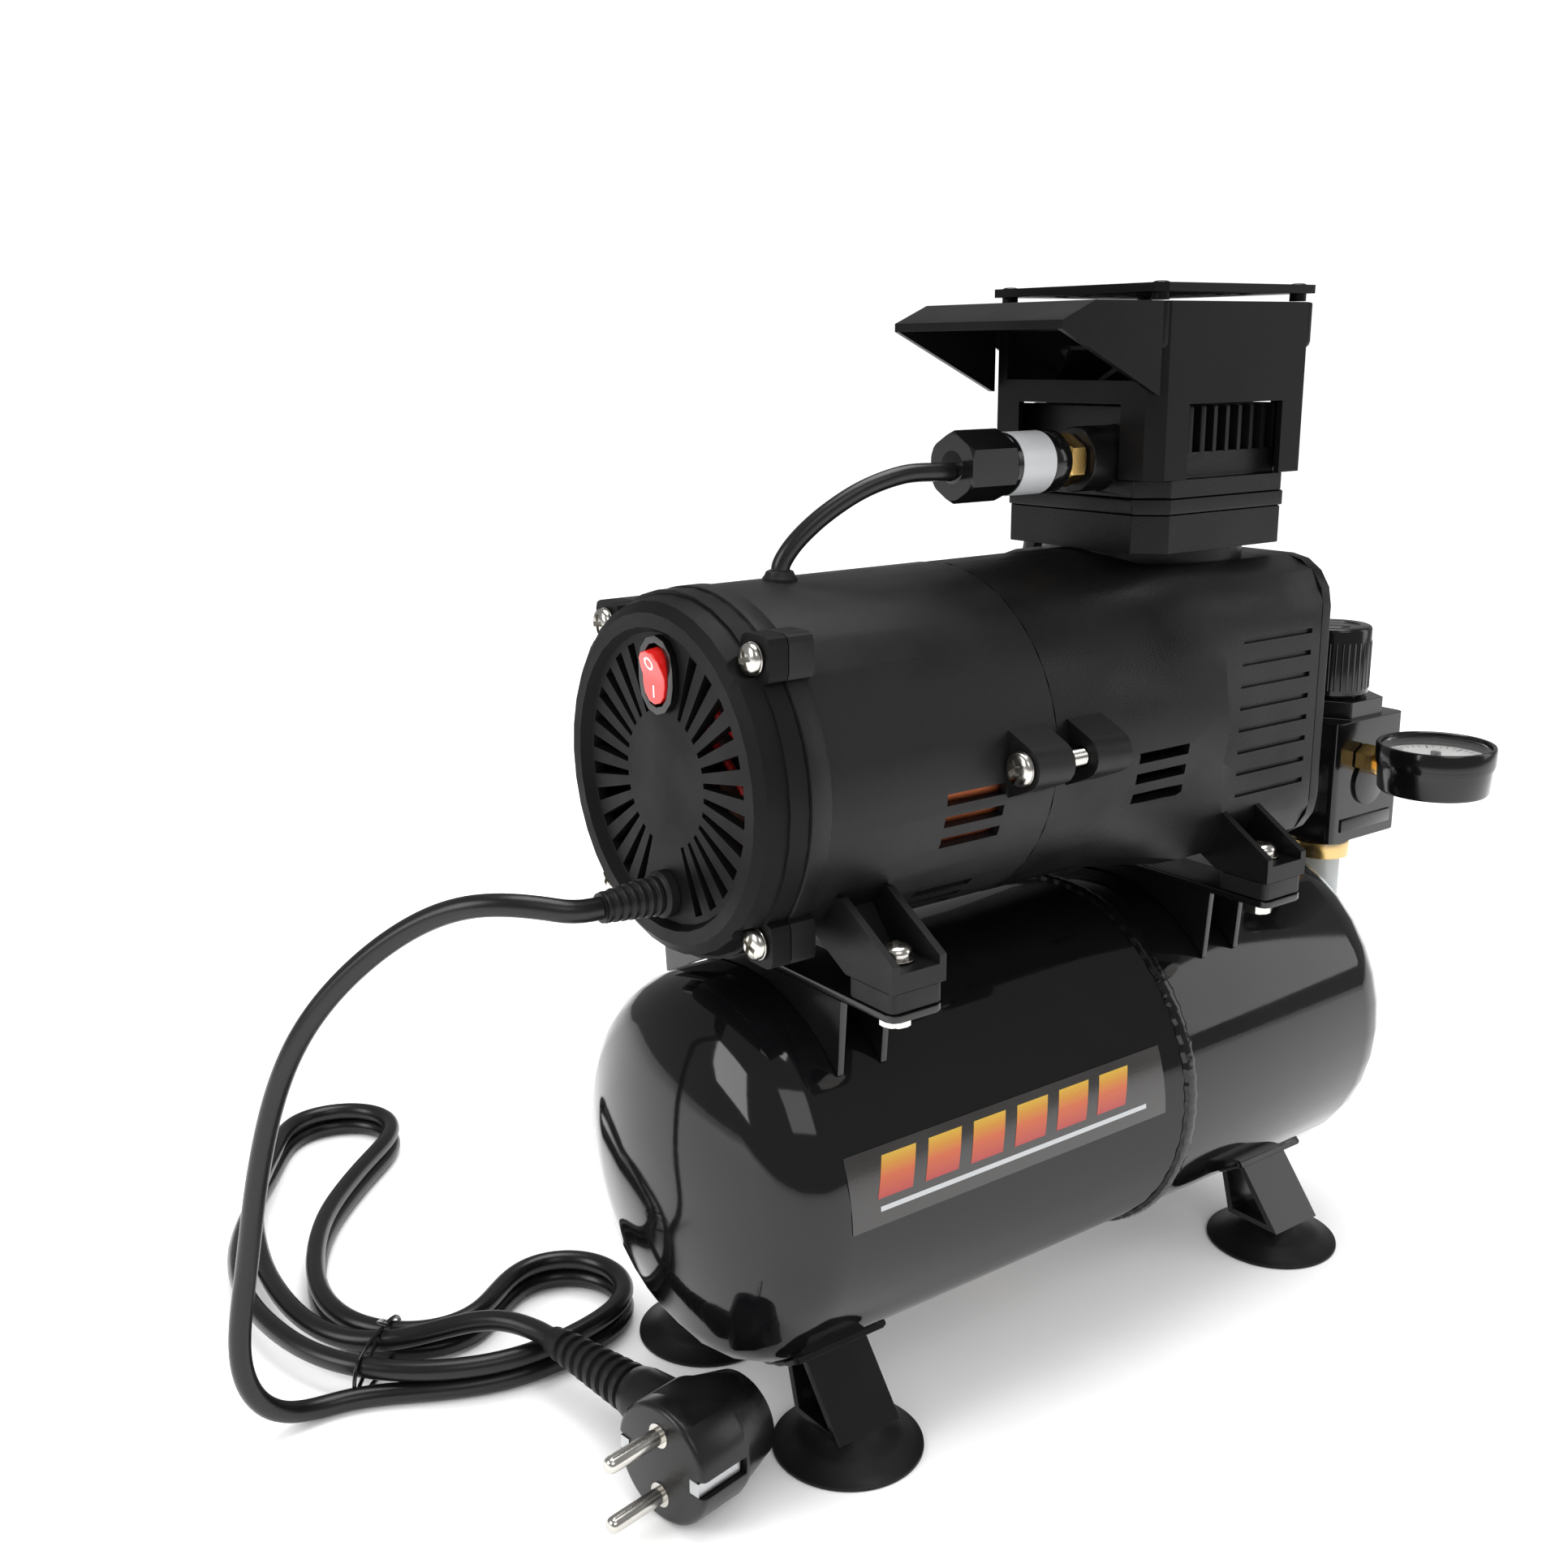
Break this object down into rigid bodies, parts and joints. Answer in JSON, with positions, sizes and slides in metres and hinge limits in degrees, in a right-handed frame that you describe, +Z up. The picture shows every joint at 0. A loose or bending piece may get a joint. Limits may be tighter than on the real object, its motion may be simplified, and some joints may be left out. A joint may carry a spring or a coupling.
{
  "type": "airbrush compressor",
  "caption": "Compact piston air compressor: motor with finned, fan-cooled head on a round air tank, with rocker switch, regulator, gauge, filter bowl, suction feet and mains cord.",
  "frame": {"origin": "bottom centre of the compressor's box, its cord left out", "axes": "+X from the switch end to the regulator end along the tank, +Z up, -Y the side with the gauge and the near clamp screw"},
  "size_m": [0.4461, 0.3234, 0.3372],
  "materials": {
    "tank_paint": "gloss",
    "housing_paint": "satin",
    "rubber": "matte",
    "screw_nickel": "satin",
    "dull_plastic": "satin",
    "shiny_plastic": "gloss",
    "red_plastic": "gloss",
    "steel": "satin",
    "brass": "satin",
    "windings": "gloss",
    "clear": "gloss",
    "light_alloy": "satin"
  },
  "bodies": {
    "frame": {"bowl": "clear", "clamp_screw_1": "screw_nickel", "clamp_screw_2": "screw_nickel", "cord_bundle": "rubber", "cord_gland": "rubber", "cover_screw_1": "screw_nickel", "cover_screw_2": "screw_nickel", "cover_screw_3": "screw_nickel", "cover_screw_4": "screw_nickel", "crankcase": "housing_paint", "crankcase_cover": "housing_paint", "cross_plate_front": "housing_paint", "cross_plate_rear": "housing_paint", "cylinder": "housing_paint", "cylinder_head": "housing_paint", "delivery_pipe": "rubber", "fan_guard": "dull_plastic", "foot_bracket_1": "housing_paint", "foot_bracket_2": "housing_paint", "foot_bracket_3": "housing_paint", "foot_bracket_4": "housing_paint", "foot_cup_1": "rubber", "foot_cup_2": "rubber", "foot_cup_3": "rubber", "foot_cup_4": "rubber", "gauge_case": "shiny_plastic", "gauge_lens": "clear", "gauge_stem": "brass", "isolator_1": "rubber", "isolator_2": "rubber", "isolator_3": "rubber", "isolator_4": "rubber", "mains_cord": "rubber", "motor_bolt_1": "screw_nickel", "motor_bolt_2": "screw_nickel", "motor_bolt_3": "screw_nickel", "motor_bolt_4": "screw_nickel", "motor_shell": "housing_paint", "outlet_nipple": "screw_nickel", "plug": "rubber", "pressure_switch": "shiny_plastic", "rear_cover": "housing_paint", "regulator_body": "shiny_plastic", "shroud": "dull_plastic", "stator": "windings", "supply_pipe": "steel", "switch_bezel": "shiny_plastic", "switch_lead": "rubber", "tank_end": "tank_paint", "tank_shell": "tank_paint", "valve_plate": "housing_paint"},
    "rocker": {"rocker": "red_plastic"},
    "adjusting_screw": {"adjusting_screw": "brass"},
    "knob": {"knob": "shiny_plastic"},
    "rotor": {"rotor": "steel"},
    "piston": {"piston": "light_alloy"},
    "fan_rotor": {"fan_rotor": "dull_plastic"},
    "gauge_needle": {"gauge_needle": "steel"},
    "bowl_drain": {"bowl_drain": "brass"},
    "drain_screw": {"drain_screw": "brass"}
  },
  "joints": [
    {"name": "rocker_hinge", "type": "hinge", "parent": "frame", "child": "rocker", "pos_m": [-0.15525, -0.00338, 0.234], "axis": [0, 1, 0], "range_deg": [0, 20]},
    {"name": "adjusting_screw_turn", "type": "hinge", "parent": "frame", "child": "adjusting_screw", "pos_m": [0.14385, -0.00338, 0.197], "axis": [0, 0, 1], "range_deg": [-720, 720]},
    {"name": "knob_lift", "type": "slide", "parent": "adjusting_screw", "child": "knob", "axis": [0, 0, 1], "range_m": [0, 0.003]},
    {"name": "shaft_turn", "type": "hinge", "parent": "frame", "child": "rotor", "pos_m": [0.00935, -0.00338, 0.2045], "axis": [1, 0, 0], "continuous": true},
    {"name": "piston_stroke", "type": "slide", "parent": "frame", "child": "piston", "axis": [0, 0, 1], "range_m": [-0.012, 0]},
    {"name": "fan_turn", "type": "hinge", "parent": "frame", "child": "fan_rotor", "pos_m": [0.03435, -0.00338, 0.3136], "axis": [0, 0, 1], "continuous": true},
    {"name": "needle_turn", "type": "hinge", "parent": "frame", "child": "gauge_needle", "pos_m": [0.13935, -0.05238, 0.1748], "axis": [0, 0, 1], "range_deg": [-270, 0]},
    {"name": "drain_press", "type": "slide", "parent": "frame", "child": "bowl_drain", "axis": [0, 0, 1], "range_m": [0, 0.0025], "stiffness_N_per_m": 200, "springref_m": -0.002},
    {"name": "drain_screw_turn", "type": "hinge", "parent": "frame", "child": "drain_screw", "pos_m": [-0.02665, -0.00338, 0.0192], "axis": [0, 0, 1], "range_deg": [0, 360]}
  ]
}
